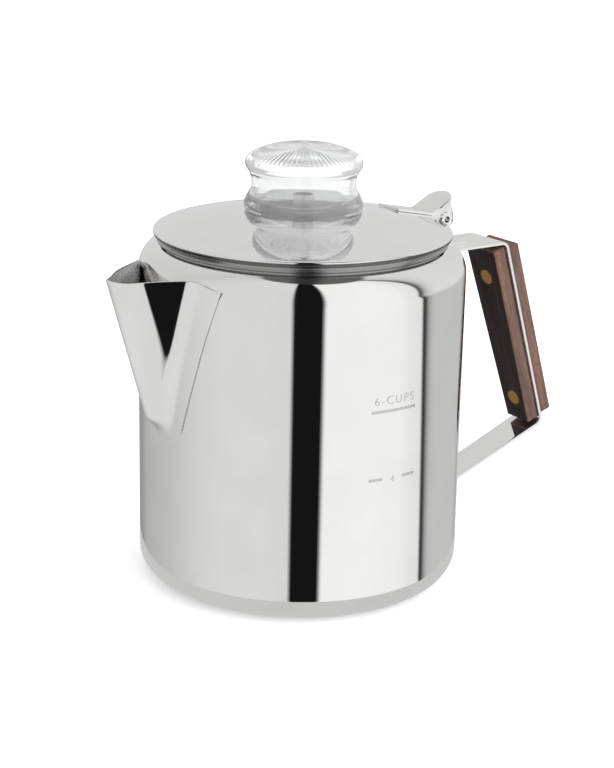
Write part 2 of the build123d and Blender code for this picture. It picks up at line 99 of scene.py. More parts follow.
def angle(name, description, degrees_value):
    """An angle property whose default is given in degrees."""
    return FloatProperty(name=name, description=description, default=radians(degrees_value), subtype="ANGLE")


def colour(name, description, value):
    """A colour property."""
    return FloatVectorProperty(name=name, description=description, default=value, size=3, subtype="COLOR")


MARKS_STAND = 0.13   # how far the stamped marks stand off the wall, which is set back by as much


class PotSizes(PropertyGroup):
    radius: length("Radius", "Outer radius of the straight wall", high("pot_body").y - MARKS_STAND)
    rim_height: length("Rim height", "Top of the curled bead on the neck", high("pot_body").z)
    neck_radius: length("Neck radius", "Outer radius of the neck under the lid", 55.2)
    base_round: length("Base round", "Round between the floor and the wall", 10.5)
    shoulder_round: length("Shoulder round", "Round between the wall and the neck", 12.0)
    shoulder_top: length("Shoulder top", "Height at which the shoulder would become level", 133.0)
    sheet: length("Sheet", "Thickness of the pot's sheet", 0.7)


class SpoutSizes(PropertyGroup):
    reach: length("Reach", "Distance from the pot's axis to the tip of the lip", -low("spout").x)
    lip_height: length("Lip height", "Height of the lip at its tip", 126.2)
    foot_height: length("Foot height", "Lowest point of the round foot", 60.4)
    half_width: length("Half width", "Half the width of the flange at the lip", 29.1)
    sheet: length("Sheet", "Thickness of the spout's sheet", 0.5)


class LidSizes(PropertyGroup):
    radius: length("Radius", "Radius of the lid's edge", high("lid").y)
    edge_height: length("Edge height", "Height of the cone at the edge", 136.3)
    lip_bottom: length("Lip bottom", "Lower end of the turned-down lip", low("lid").z)
    seat_radius: length("Seat radius", "Radius of the level land under the clear top", 22.9)
    hole_radius: length("Hole radius", "Radius of the hole for the clear top", 18.6)
    sheet: length("Sheet", "Thickness of the lid's sheet", 0.6)


class TopSizes(PropertyGroup):
    apex: length("Apex", "Height of the dome", high("clear_top").z)
    head_radius: length("Head radius", "Radius of the head at its widest", 22.3)
    waist_radius: length("Waist radius", "Radius of the waist", 19.7)
    wall: length("Wall", "Thickness of the moulded wall", 2.4)
    flutes: IntProperty(name="Flutes", description="Rays moulded in the dome", default=64, min=12, max=96)
    flute_depth: length("Flute depth", "Depth of the rays inside the dome", 0.09)
    outer_flute_depth: length("Outer flute depth", "Depth of the rays on the dome's outer skin", 0.05)


class HandleSizes(PropertyGroup):
    top_reach: length("Top reach", "Distance from the pot's axis to the upper corner", 93.3)
    top_height: length("Top height", "Height of the upper arm's middle line", 121.7)
    low_reach: length("Low reach", "Distance from the pot's axis to the lower corner", 120.1)
    low_height: length("Low height", "Height of the lower corner", 40.67)
    bend: length("Bend", "Radius of both bends at the middle line", 3.2)
    top_width: length("Top width", "Width of the strap at the upper arm", high("handle_strap").y * 2)
    low_width: length("Low width", "Width of the strap at its lower foot", 13.4)
    sheet: length("Sheet", "Thickness of the strap", 1.3)


class Finishes(PropertyGroup):
    steel: colour("Polished steel", "Colour of the mirror-polished steel", (0.93, 0.925, 0.915))
    strap: colour("Strap steel", "Colour of the strap and hinge", (0.90, 0.895, 0.885))
    wood_face: colour("Wood face", "Dark, sealed broad faces of the grips", (0.014, 0.008, 0.007))
    wood_light: colour("Wood edge, light", "Light streaks on the edges of the grips", (0.20, 0.094, 0.062))
    wood_dark: colour("Wood edge, dark", "Dark streaks on the edges of the grips", (0.078, 0.036, 0.028))
    brass: colour("Brass", "Colour of the rivets", (0.40, 0.225, 0.055))
    aluminium: colour("Aluminium", "Colour of the basket and the pump", (0.80, 0.80, 0.81))
    plastic: colour("Clear plastic", "Tint of the clear top", (0.975, 0.98, 0.985))


class StageSizes(PropertyGroup):
    azimuth: angle("Azimuth", "Camera bearing", -35.1)
    elevation: angle("Elevation", "Camera elevation", 17.138)
    roll: angle("Roll", "Camera roll", 1.12)
    distance: length("Distance", "Camera distance from its target", 747.5)
    lens: FloatProperty(name="Lens", description="Focal length in millimetres", default=90.3)
    across: length("Across", "Target's offset to the camera's right", 2.65)
    target_height: length("Target height", "Height of the camera's target", 74.52)


# ---- helpers for making pieces ------------------------------------------------------------------------
def deselect():
    """Leaves edit mode and deselects everything."""
    if bpy.context.object and bpy.context.object.mode != "OBJECT":
        bpy.ops.object.mode_set(mode="OBJECT")
    bpy.ops.object.select_all(action="DESELECT")


def choose(piece):
    """Makes one piece the only selected and active one."""
    deselect()
    piece.select_set(True)
    bpy.context.view_layer.objects.active = piece


def apply_place(piece):
    """Moves the object's place, turn and scale into its mesh."""
    choose(piece)
    bpy.ops.object.transform_apply(location=True, rotation=True, scale=True)


def apply_modifier(piece, kind, **settings):
    """Adds a modifier, sets it and applies it."""
    choose(piece)
    modifier = piece.modifiers.new(kind.lower(), kind)
    for name, value in settings.items():
        setattr(modifier, name, value)
    bpy.ops.object.modifier_apply(modifier=modifier.name)


def smooth(piece, angle=SMOOTH_ANGLE):
    """Shades a piece smooth, with sharp edges past an angle."""
    choose(piece)
    bpy.ops.object.shade_smooth_by_angle(angle=angle)


def finish_piece(piece, body, material, slot, *replaced):
    """Gives a piece its material and its body, and hides the nodes it stands for; the slot is not used."""
    if material is not None:
        piece.data.materials.clear()
        for one in material if isinstance(material, list) else [material]:
            piece.data.materials.append(one)
    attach(piece, body)
    if replaced:
        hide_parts(*replaced)
    return piece


def arc(centre, radius, start, end, steps):
    """Points on an arc of an outline, from one angle to another, in degrees from the outward direction."""
    angles = [radians(start + (end - start) * k / steps) for k in range(steps + 1)]
    return [(centre[0] + radius * cos(a), centre[1] + radius * sin(a)) for a in angles]


def turned(name, outline, segments=TURN_STEPS):
    """Turns an outline of (radius, height) points in millimetres about Z, ring by ring from a circle.

    An outline that ends on the axis is closed there, and one that ends where it began is joined up.
    """
    starts_on_axis = outline[0][0] < 1e-6
    rings = outline[1:] if starts_on_axis else outline
    deselect()
    radius, height = rings[0]
    bpy.ops.mesh.primitive_circle_add(vertices=segments, radius=radius * MM, location=(0, 0, height * MM))
    piece = bpy.context.object
    piece.name = name
    bpy.ops.object.mode_set(mode="EDIT")
    bpy.ops.mesh.select_all(action="SELECT")
    for next_radius, next_height in rings[1:]:
        rise = {"value": (0, 0, (next_height - height) * MM)}
        bpy.ops.mesh.extrude_region_move(TRANSFORM_OT_translate=rise)
        if next_radius < 1e-6:
            bpy.ops.mesh.merge(type="CENTER")
            break
        scale = next_radius / radius
        bpy.ops.transform.resize(value=(scale, scale, 1), center_override=(0, 0, next_height * MM))
        radius, height = next_radius, next_height
    if starts_on_axis:
        bpy.ops.object.mode_set(mode="OBJECT")
        for vertex in piece.data.vertices:
            vertex.select = vertex.index < segments
        bpy.ops.object.mode_set(mode="EDIT")
        bpy.ops.mesh.select_mode(type="VERT")
        rise = {"value": (0, 0, (outline[0][1] - rings[0][1]) * MM)}
        bpy.ops.mesh.extrude_region_move(TRANSFORM_OT_translate=rise)
        bpy.ops.mesh.merge(type="CENTER")
    bpy.ops.mesh.select_all(action="SELECT")
    bpy.ops.mesh.remove_doubles(threshold=1e-7)
    bpy.ops.mesh.normals_make_consistent(inside=False)
    bpy.ops.object.mode_set(mode="OBJECT")
    apply_place(piece)
    smooth(piece)
    return piece


def softened_copy(node, name, width, segments=2):
    """A copy of a node's mesh with its triangles joined up and its edges rounded."""
    choose(nodes[node])
    bpy.ops.object.duplicate()
    piece = bpy.context.object
    piece.name = name
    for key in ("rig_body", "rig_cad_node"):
        del piece[key]
    piece.parent = None
    choose(piece)
    bpy.ops.mesh.customdata_custom_splitnormals_clear()
    bpy.ops.object.mode_set(mode="EDIT")
    bpy.ops.mesh.select_all(action="SELECT")
    bpy.ops.mesh.remove_doubles(threshold=2e-6)
    bpy.ops.mesh.dissolve_limited(angle_limit=radians(0.8))
    bpy.ops.object.mode_set(mode="OBJECT")
    apply_modifier(
        piece,
        "BEVEL",
        width=width * MM,
        segments=segments,
        limit_method="ANGLE",
        angle_limit=radians(38),
        use_clamp_overlap=True,
    )
    smooth(piece)
    return piece


# ---- materials ----------------------------------------------------------------------------------------
def new_material(name):
    """A material with its node tree and principled shader."""
    material = bpy.data.materials.new(name)
    material.use_nodes = True
    return material, material.node_tree, material.node_tree.nodes["Principled BSDF"]


def node(tree, kind, **settings):
    """A shader node with its settings; names that are inputs set those sockets."""
    made = tree.nodes.new(kind)
    for name, value in settings.items():
        socket = made.inputs.get(name.replace("_", " "))
        if socket is not None and not hasattr(made, name):
            socket.default_value = value
        else:
            setattr(made, name, value)
    return made


def object_pattern(tree, scale, turn=(0, 0, 0)):
    """Object coordinates, turned and stretched by a scale per axis."""
    place = node(tree, "ShaderNodeTexCoord")
    turned_place = node(tree, "ShaderNodeMapping", vector_type="POINT")
    turned_place.inputs["Rotation"].default_value = turn
    stretched = node(tree, "ShaderNodeMapping", vector_type="POINT")
    stretched.inputs["Scale"].default_value = scale
    tree.links.new(place.outputs["Object"], turned_place.inputs["Vector"])
    tree.links.new(turned_place.outputs["Vector"], stretched.inputs["Vector"])
    return stretched.outputs["Vector"]


def noise(tree, vector, scale, detail=4.0):
    """A noise texture on a pattern."""
    made = node(tree, "ShaderNodeTexNoise")
    made.inputs["Scale"].default_value = scale
    made.inputs["Detail"].default_value = detail
    tree.links.new(vector, made.inputs["Vector"])
    return made.outputs["Fac"]


def ranged(tree, value, low_value, high_value, start=0.35, end=0.65):
    """Maps a value from one range to another."""
    made = node(tree, "ShaderNodeMapRange")
    made.inputs["From Min"].default_value = start
    made.inputs["From Max"].default_value = end
    made.inputs["To Min"].default_value = low_value
    made.inputs["To Max"].default_value = high_value
    tree.links.new(value, made.inputs["Value"])
    return made.outputs["Result"]


def mixed_colour(tree, factor, first, second):
    """Two colours mixed by a factor."""
    made = node(tree, "ShaderNodeMix", data_type="RGBA")
    for socket, value in ((made.inputs[6], first), (made.inputs[7], second)):
        if isinstance(value, bpy.types.NodeSocket):
            tree.links.new(value, socket)
        else:
            socket.default_value = (*value, 1.0)
    tree.links.new(factor, made.inputs[0])
    return made.outputs[2]


def bump(tree, bsdf, height, strength, distance):
    """Bump from a height, into the shader's normal."""
    made = node(tree, "ShaderNodeBump")
    made.inputs["Strength"].default_value = strength
    made.inputs["Distance"].default_value = distance
    tree.links.new(height, made.inputs["Height"])
    tree.links.new(made.outputs["Normal"], bsdf.inputs["Normal"])


def metal(name, colour_value, roughness, polish_scale, waviness):
    """Polished metal: cloudy roughness, fine polishing marks and a faint unevenness of the sheet."""
    material, tree, bsdf = new_material(name)
    bsdf.inputs["Metallic"].default_value = 1.0
    clouds = noise(tree, object_pattern(tree, (1, 1, 1)), 60.0)
    marks = noise(tree, object_pattern(tree, polish_scale), 1.0, 6.0)
    tint = mixed_colour(tree, ranged(tree, clouds, 0, 1), colour_value, [c * 0.965 for c in colour_value])
    tree.links.new(tint, bsdf.inputs["Base Color"])
    mixture = node(tree, "ShaderNodeMath", operation="MULTIPLY")
    tree.links.new(ranged(tree, marks, 0.75, 1.3), mixture.inputs[0])
    tree.links.new(ranged(tree, clouds, roughness * 0.85, roughness * 1.2), mixture.inputs[1])
    tree.links.new(mixture.outputs["Value"], bsdf.inputs["Roughness"])
    bump(tree, bsdf, clouds, waviness, 0.0004)
    return material


def polished_steel(finishes):
    """Mirror-polished stainless steel, with marks that run round the pot."""
    return metal("polished_steel_finish", finishes.steel, 0.022, (60, 60, 5200), 0.015)


def lip_steel(finishes):
    """Steel of the lid's rolled lip, dull and dark: its dark colour is painted shade of the gap under the
    lip.
    """
    return metal("lip_steel_finish", [c * 0.17 for c in finishes.steel], 0.25, (60, 60, 5200), 0.0)


def neck_steel(finishes):
    """Steel of the pot's neck under the lid's lip, dull and darker: its dark colour is painted shade of the
    gap under the lip.
    """
    return metal("neck_steel_finish", [c * 0.42 for c in finishes.steel], 0.25, (60, 60, 5200), 0.0)


def inner_steel(finishes):
    """Steel left as drawn, inside the spout."""
    return metal("inner_steel_finish", [c * 0.62 for c in finishes.steel], 0.30, (900, 900, 900), 0.03)


def stamped_steel(finishes):
    """Steel roughened by the stamp that raised the capacity marks."""
    return metal("stamped_steel_finish", [c * 0.68 for c in finishes.steel], 0.22, (900, 900, 900), 0.03)


def strap_steel(finishes):
    """Bright steel strip, with marks that run across it."""
    return metal("strap_steel_finish", finishes.strap, 0.07, (4200, 90, 4200), 0.03)


def spun_aluminium(finishes):
    """Satin aluminium with the rings that spinning leaves."""
    material, tree, bsdf = new_material("spun_aluminium_finish")
    bsdf.inputs["Metallic"].default_value = 1.0
    grain = noise(tree, object_pattern(tree, (1400, 1400, 1400)), 1.0)
    rings = noise(tree, object_pattern(tree, (30, 30, 2600)), 1.0, 5.0)
    shaded = [c * 0.88 for c in finishes.aluminium]
    tint = mixed_colour(tree, ranged(tree, grain, 0, 1), finishes.aluminium, shaded)
    tree.links.new(tint, bsdf.inputs["Base Color"])
    tree.links.new(ranged(tree, rings, 0.24, 0.38), bsdf.inputs["Roughness"])
    bump(tree, bsdf, rings, 0.12, 0.0002)
    return material


def brass(finishes):
    """Polished brass, a little tarnished."""
    material, tree, bsdf = new_material("brass_finish")
    bsdf.inputs["Metallic"].default_value = 1.0
    tarnish = noise(tree, object_pattern(tree, (1, 1, 1)), 900.0)
    tint = mixed_colour(tree, ranged(tree, tarnish, 0, 1), finishes.brass, (0.36, 0.19, 0.05))
    tree.links.new(tint, bsdf.inputs["Base Color"])
    tree.links.new(ranged(tree, tarnish, 0.16, 0.34), bsdf.inputs["Roughness"])
    bump(tree, bsdf, tarnish, 0.02, 0.0001)
    return material


def clear_plastic(finishes):
    """Clear moulded plastic with faint flow marks."""
    material, tree, bsdf = new_material("clear_plastic_finish")
    bsdf.inputs["Base Color"].default_value = (*finishes.plastic, 1.0)
    bsdf.inputs["Transmission Weight"].default_value = 0.85
    bsdf.inputs["IOR"].default_value = 1.49
    flow = noise(tree, object_pattern(tree, (1, 1, 1)), 120.0, 2.0)
    tree.links.new(ranged(tree, flow, 0.0, 0.03), bsdf.inputs["Roughness"])
    bump(tree, bsdf, flow, 0.05, 0.0005)
    return material


GRIP_LEAN = radians(18.3)   # the grips' lean away from upright


def grain_pattern(tree, along, across):
    """Coordinates stretched along the grips, for grain that runs their length."""
    return object_pattern(tree, (across, across, along), (0, GRIP_LEAN, 0))


def wood_edge(finishes):
    """Sanded edges of the grips: fine, red-brown, straight-grained wood with open pores."""
    material, tree, bsdf = new_material("wood_edge_finish")
    streaks = noise(tree, grain_pattern(tree, 18, 520), 1.0, 5.0)
    pores = noise(tree, grain_pattern(tree, 210, 3600), 1.0, 3.0)
    bands = noise(tree, grain_pattern(tree, 9, 150), 1.0, 2.0)
    streak_share = ranged(tree, streaks, 0, 1, 0.36, 0.62)
    base = mixed_colour(tree, streak_share, finishes.wood_dark, finishes.wood_light)
    greyed = mixed_colour(tree, ranged(tree, bands, 0, 0.55), base, (0.115, 0.086, 0.072))
    speckled = mixed_colour(tree, ranged(tree, pores, 0.55, 0, 0.38, 0.5), greyed, (0.05, 0.024, 0.018))
    tree.links.new(speckled, bsdf.inputs["Base Color"])
    tree.links.new(ranged(tree, pores, 0.62, 0.45), bsdf.inputs["Roughness"])
    bsdf.inputs["Specular IOR Level"].default_value = 0.35
    bump(tree, bsdf, pores, 0.35, 0.0003)
    return material


def wood_face(finishes):
    """Sealed broad faces of the grips: nearly black, with a trace of the grain."""
    material, tree, bsdf = new_material("wood_face_finish")
    streaks = noise(tree, grain_pattern(tree, 16, 420), 1.0, 5.0)
    red = [finishes.wood_face[0] * 2.0, finishes.wood_face[1] * 1.5, finishes.wood_face[2] * 1.4]
    base = mixed_colour(tree, ranged(tree, streaks, 0, 1, 0.4, 0.7), finishes.wood_face, red)
    tree.links.new(base, bsdf.inputs["Base Color"])
    tree.links.new(ranged(tree, streaks, 0.32, 0.5), bsdf.inputs["Roughness"])
    bsdf.inputs["Specular IOR Level"].default_value = 0.1
    bump(tree, bsdf, streaks, 0.12, 0.0002)
    return material


def material_of(maker):
    """The material that a maker function makes, made once."""
    known = bpy.data.materials.get(maker.__name__ + "_finish")
    return known or maker(bpy.context.scene.percolator_finishes)


# ---- pot and spout ------------------------------------------------------------------------------------
def pot_outline(sizes):
    """The pot's outer skin from the floor's middle up to the bead, then the inner skin back to the floor."""
    wall = sizes.radius / MM
    neck = sizes.neck_radius / MM
    sheet = sizes.sheet / MM
    base_round = sizes.base_round / MM
    shoulder_round = sizes.shoulder_round / MM
    shoulder = (wall - shoulder_round, sizes.shoulder_top / MM - shoulder_round)
    base = (wall - base_round, base_round)
    bead_radius = 0.8
    bead = (neck - 0.1, sizes.rim_height / MM - bead_radius)
    inner_neck = neck - sheet - 0.2
    crease_angle = 66.0
    crease = arc(shoulder, shoulder_round, crease_angle, crease_angle, 1)[0]
    inner_angle = 70.0
    outer = [(0, 0.5), (44.0, 0.5), (44.6, 0.35), (45.4, 0.05), (46.0, 0.0)]
    outer += arc(base, base_round, -90, 0, 26)
    outer += arc(shoulder, shoulder_round, 0, crease_angle, 30)
    outer += [(crease[0] - 0.25, crease[1] + 0.16), (neck, crease[1] + 0.45)]
    outer += arc(bead, bead_radius, -60, 180, 14)
    inner = [(inner_neck, shoulder[1] + 11.0)]
    inner += arc(shoulder, shoulder_round - sheet, inner_angle, 0, 12)
    inner += arc(base, base_round - sheet, 0, -90, 12)
    inner += [(46.0, sheet), (45.0, sheet + 0.2), (44.0, sheet + 0.5), (0, sheet + 0.5)]
    return outer + inner


def bent_round_wall(piece, radius, angle, proud):
    """Bends a flat piece in the XY plane round the pot's wall, centred at an angle and a little proud."""
    for vertex in piece.data.vertices:
        turn = angle + vertex.co.x / radius
        reach = radius + proud + vertex.co.z
        vertex.co = Vector((reach * cos(turn), reach * sin(turn), vertex.co.y))


def mark_bar(name, bar_length, height, across):
    """A stamped bar with round ends and a soft edge, flat in the XY plane."""
    thickness = 0.36 * MM
    deselect()
    bpy.ops.mesh.primitive_cube_add(size=1, location=(across * MM, height * MM, 0))
    piece = bpy.context.object
    piece.name = name
    piece.scale = (bar_length * MM, 1.05 * MM, thickness)
    apply_place(piece)
    bpy.ops.object.mode_set(mode="EDIT")
    bpy.ops.mesh.select_all(action="SELECT")
    bpy.ops.mesh.subdivide(number_cuts=1)
    bpy.ops.object.mode_set(mode="OBJECT")
    apply_modifier(piece, "BEVEL", width=0.17 * MM, segments=3, limit_method="ANGLE")
    choose(piece)
    bpy.ops.object.mode_set(mode="EDIT")
    bpy.ops.mesh.select_all(action="SELECT")
    parts = round(bar_length / 0.8)
    for k in range(1, parts):
        place = (across + bar_length * (k / parts - 0.5)) * MM
        bpy.ops.mesh.select_all(action="SELECT")
        bpy.ops.mesh.bisect(plane_co=(place, 0, 0), plane_no=(1, 0, 0))
    bpy.ops.object.mode_set(mode="OBJECT")
    return piece


def mark_text(name, words, size, height, across):
    """Stamped lettering, flat in the XY plane."""
    deselect()
    bpy.ops.object.text_add(location=(across * MM, height * MM, 0))
    piece = bpy.context.object
    piece.name = name
    piece.data.body = words
    piece.data.size = size * MM
    piece.data.align_x = "CENTER"
    piece.data.space_character = 1.25
    piece.data.extrude = 0.10 * MM
    piece.data.bevel_depth = 0.06 * MM
    piece.data.bevel_resolution = 1
    piece.data.offset = -0.10 * MM
    bpy.ops.object.convert(target="MESH")
    apply_place(piece)
    return piece


class PERCOLATOR_OT_pot(Operator):
    """Turn the pot's shell and stamp its capacity marks"""

    bl_idname = "percolator.pot"
    bl_label = "Pot"

    def execute(self, context):
        sizes = context.scene.percolator_pot
        shell = turned("pot_shell", pot_outline(sizes))
        # The second skin is steel darkened as painted shade of the gap under the lid's lip.
        skins = [material_of(polished_steel), material_of(neck_steel)]
        finish_piece(shell, "pot", skins, "polished_steel", "pot_body", "pot_floor")
        # Faces of the neck band under the lid's lip take that painted shade.
        for face in shell.data.polygons:
            across = hypot(face.center.x, face.center.y)
            near_neck = abs(across - sizes.neck_radius) < 0.5 * MM
            face.material_index = 1 if near_neck and face.center.z > sizes.shoulder_top - 1.0 * MM else 0
        marks_angle = radians(-91.5)
        marks = [
            mark_bar("upper_line", 19.4, 81.4, 0.0),
            mark_bar("lower_dash_left", 5.8, 55.5, -7.2),
            mark_bar("lower_dash_right", 5.8, 55.5, 7.2),
            mark_text("upper_words", "6-CUPS", 4.6, 83.9, 0.2),
            mark_text("lower_digit", "4", 3.6, 53.9, 0.0),
        ]
        for mark in marks:
            bent_round_wall(mark, sizes.radius, marks_angle, -0.06 * MM)
            smooth(mark)
        choose(marks[0])
        for mark in marks[1:]:
            mark.select_set(True)
        bpy.ops.object.join()
        marks[0].name = "capacity_marks"
        finish_piece(marks[0], "pot", material_of(stamped_steel), "polished_steel")
        return {"FINISHED"}


def smooth_step(value, start, end):
    """0 before start, 1 after end, and smooth between."""
    share = min(1.0, max(0.0, (value - start) / (end - start)))
    return share * share * (3 - 2 * share)


def smooth_max(first, second, blend):
    """The larger of two values, rounded over where they are within a blend of each other."""
    gap = abs(first - second)
    larger = max(first, second)
    if gap >= blend:
        return larger
    return larger + (blend - gap) ** 2 / (4 * blend)


class SpoutForm:
    """The outer skin of the spout, in millimetres, as seen along its own axis of symmetry."""

    def __init__(self, sizes, pot_radius):
        self.reach = sizes.reach / MM
        self.lip = sizes.lip_height / MM
        self.foot = sizes.foot_height / MM
        self.half_width = sizes.half_width / MM
        self.wall = pot_radius / MM + 0.05 + sizes.sheet / MM
        self.nose_slope = 0.297     # run of the nose line over its rise
        self.seam_slope = 0.298     # run of the seam over its rise
        self.bend_depth = 35.5      # depth below the lip at which the crease in the flank dies out
        self.lip_steepness = 1.136  # how fast the flank falls back across the spout, at the lip
        self.added_steepness = 0.403
        self.lip_nose = 2.9         # half the width of the rounded nose at the lip
        self.crease_across = 10.395  # where the flank is creased at the lip, from the middle
        self.crease_fall = 0.615    # how much faster the flank falls past the crease
        self.foot_radius = 13.3

    def seam_half_width(self, height):
        """Half the flange's width at a height: straight seams that end in a round foot."""
        centre = self.foot + self.foot_radius
        lean = hypot(1, self.seam_slope)
        if height >= centre - self.foot_radius * self.seam_slope / lean:
            return self.half_width - self.seam_slope * (self.lip - 1.5 - height)
        return sqrt(max(0.0, self.foot_radius**2 - (height - centre) ** 2))

    def front(self, across, height):
        """Distance of the skin from the pot's axis, measured along the spout, at a point across it."""
        depth = self.lip - height
        share = 1 - smooth_max(0.0, 1 - depth / self.bend_depth, 0.8)
        wall = sqrt(max(0.0, self.wall**2 - across**2))
        steepness = self.lip_steepness + self.added_steepness * share
        nose = self.lip_nose - 0.9 * share + 0.06 * smooth_max(0.0, depth - self.bend_depth, 16.0)
        ridge = self.reach - self.nose_slope * depth - steepness * (hypot(across, nose) - nose)
        past_crease = abs(across) - self.crease_across + 1.205 * share
        ridge -= self.crease_fall * (1 - share) * (past_crease + hypot(past_crease, 1.2)) / 2
        fade = smooth_step(height, self.foot + 1.5, self.foot + 13.0)
        ridge = wall - 4.0 + (ridge - wall + 4.0) * fade
        return smooth_max(ridge, wall, 4.24 - 1.0 * share)

    def lip_rise(self, across):
        """How far the lip stands above its tip: curled up there, a dip behind, and lower at the seam."""
        share = abs(across) / self.half_width
        curl = 0.45 * 2.7 ** -((across / 3.2) ** 2)
        dip = 0.5 * 2.7 ** -(((abs(across) - 6.5) / 4.0) ** 2)
        rise = 1.1 * sin(pi * min(1.0, share / 0.62) / 2) ** 2
        return curl - dip + rise - 2.6 * smooth_step(share, 0.62, 1.0)


class PERCOLATOR_OT_spout(Operator):
    """Fold the spout from one sheet: a round nose, two flanks and a flange that hugs the wall"""

    bl_idname = "percolator.spout"
    bl_label = "Spout"

    def execute(self, context):
        sizes = context.scene.percolator_spout
        form = SpoutForm(sizes, context.scene.percolator_pot.radius)
        rows, columns = 88, 96
        deselect()
        bpy.ops.mesh.primitive_grid_add(x_subdivisions=columns, y_subdivisions=rows, size=2)
        piece = bpy.context.object
        piece.name = "spout_sheet"
        for vertex in piece.data.vertices:
            side, rise = vertex.co.x, (vertex.co.y + 1) / 2
            side = side * (0.62 + 0.38 * side * side)
            height = form.foot + (form.lip - form.foot) * (rise - 0.14 * sin(pi * rise) * (1 - rise))
            across = side * form.seam_half_width(height)
            lift = form.lip_rise(across) * smooth_step(rise, 0.55, 1.0)
            reach = form.front(across, height)
            vertex.co = Vector((-reach, across, height + lift)) * MM
        choose(piece)
        bpy.ops.object.mode_set(mode="EDIT")
        bpy.ops.mesh.select_all(action="SELECT")
        bpy.ops.mesh.remove_doubles(threshold=1e-6)
        bpy.ops.object.mode_set(mode="OBJECT")
        if sum(face.normal.x for face in piece.data.polygons) > 0:
            bpy.ops.object.mode_set(mode="EDIT")
            bpy.ops.mesh.select_all(action="SELECT")
            bpy.ops.mesh.flip_normals()
            bpy.ops.object.mode_set(mode="OBJECT")
        piece.data.materials.append(material_of(polished_steel))
        piece.data.materials.append(material_of(inner_steel))
        apply_modifier(piece, "SOLIDIFY", thickness=sizes.sheet, offset=-1.0, material_offset=1)
        edge = {"width": 0.1 * MM, "segments": 2}
        apply_modifier(piece, "BEVEL", limit_method="ANGLE", angle_limit=radians(60), **edge)
        smooth(piece)
        finish_piece(piece, "pot", None, "polished_steel", "spout")
        return {"FINISHED"}


# ---- lid and clear top --------------------------------------------------------------------------------
def lid_outline(sizes):
    """The lid's section: level seat, cone, rounded edge and turned-down lip, back along the underside."""
    slope = 0.2036
    edge = sizes.radius / MM
    top = sizes.edge_height / MM
    sheet = sizes.sheet / MM
    seat = sizes.seat_radius / MM
    hole = sizes.hole_radius / MM
    seat_top = top + (edge - seat) * slope
    edge_round = 0.9
    centre = (edge - edge_round, top + edge_round * slope - edge_round)
    inner = edge - sheet
    lip = sizes.lip_bottom / MM + 0.5
    return (
        [(hole, seat_top), (seat - 0.5, seat_top), (seat + 0.5, seat_top - 0.5 * slope)]
        + [(edge - 18.0, top + 18.0 * slope), (edge - 2.0, top + 2.0 * slope)]
        + arc(centre, edge_round, 78, 0, 10)
        + [(edge - 0.03, lip + 0.55), (edge - 0.14, lip + 0.2), (edge - 0.32, lip - 0.15)]
        + [(edge - 0.52, lip - 0.42), (edge - 0.66, lip - 0.5), (inner - 0.12, lip - 0.42)]
        + [(inner - 0.02, lip), (inner, lip + 0.4)]
        + [(inner, top - sheet), (inner - 1.0, top - sheet + slope), (seat, seat_top - sheet)]
        + [(hole, seat_top - sheet), (hole, seat_top)]
    )


class PERCOLATOR_OT_lid(Operator):
    """Spin the lid's cone and finish the ring beneath it"""

    bl_idname = "percolator.lid"
    bl_label = "Lid"

    def execute(self, context):
        piece = turned("lid_cone", lid_outline(context.scene.percolator_lid))
        # The second skin darkens the turned-under lip: painted shade of the gap beneath it.
        skins = [material_of(polished_steel), material_of(lip_steel)]
        finish_piece(piece, "lid", skins, "polished_steel", "lid")
        lip = context.scene.percolator_lid
        # Faces of the lip below the rounded edge take that painted shade.
        for face in piece.data.polygons:
            across = hypot(face.center.x, face.center.y)
            is_lip = across > lip.radius - 0.8 * MM and face.center.z < lip.edge_height - 0.45 * MM
            face.material_index = 1 if is_lip else 0
        nodes["lid_skirt"].material_slots[0].material = material_of(polished_steel)
        return {"FINISHED"}


def curve_through(points, steps):
    """A smooth run of points through a few (radius, height) points."""
    result = []
    padded_points = [points[0], *points, points[-1]]
    for k in range(len(points) - 1):
        a, b, c, d = (Vector(p) for p in padded_points[k : k + 4])
        for j in range(steps):
            t = j / steps
            value = (2 * b + (c - a) * t + (2 * a - 5 * b + 4 * c - d) * t * t) / 2
            value += (3 * b - a - 3 * c + d) * t**3 / 2
            result.append(tuple(value))
    result.append(points[-1])
    return result


def top_outline(sizes, seat):
    """The clear top's outer skin from apex to neck, then its inner skin back to the apex."""
    head = sizes.head_radius / MM
    waist = sizes.waist_radius / MM
    wall = sizes.wall / MM
    apex = sizes.apex / MM
    widest = apex - 6.9
    middle = apex - 14.6
    neck = 18.0
    bottom = low("clear_top").z
    bore = neck - 2.0
    dome = [(0, apex), (6.0, apex - 0.25), (12.0, apex - 0.95), (16.8, apex - 2.45), (20.4, apex - 4.1)]
    side = [(21.75, apex - 5.4), (head, widest), (22.0, widest - 1.6)]
    side += [(21.1, widest - 3.1), (20.3, widest - 4.6)]
    lower = [(waist, middle), (20.0, middle - 2.2), (20.9, middle - 4.1)]
    lower += [(22.05, middle - 6.0), (22.5, middle - 7.6)]
    outer = curve_through(dome + side + lower + [(22.45, seat + 1.0)], 5)
    outer += [(22.25, seat + 0.25), (21.9, seat), (neck + 0.3, seat)]
    outer += [(neck, seat - 0.3), (neck, bottom + 0.3)]
    inner = [(neck - 0.3, bottom), (bore + 0.3, bottom), (bore, bottom + 0.3), (bore, seat + 0.8)]
    inner_lower = [(bore + 1.2, seat + 2.6), (19.1, middle - 6.2), (18.3, middle - 4.0), (17.5, middle - 2.0)]
    inner_side = [(waist - wall, middle), (17.8, widest - 4.4), (18.8, widest - 2.6), (19.2, widest - 0.8)]
    inner_dome = [(18.4, apex - 6.0), (15.6, apex - 4.9), (11.0, apex - 3.4)]
    inner_dome += [(5.0, apex - 2.6), (0, apex - wall)]
    return outer + inner + curve_through(inner_lower + inner_side + inner_dome, 4)


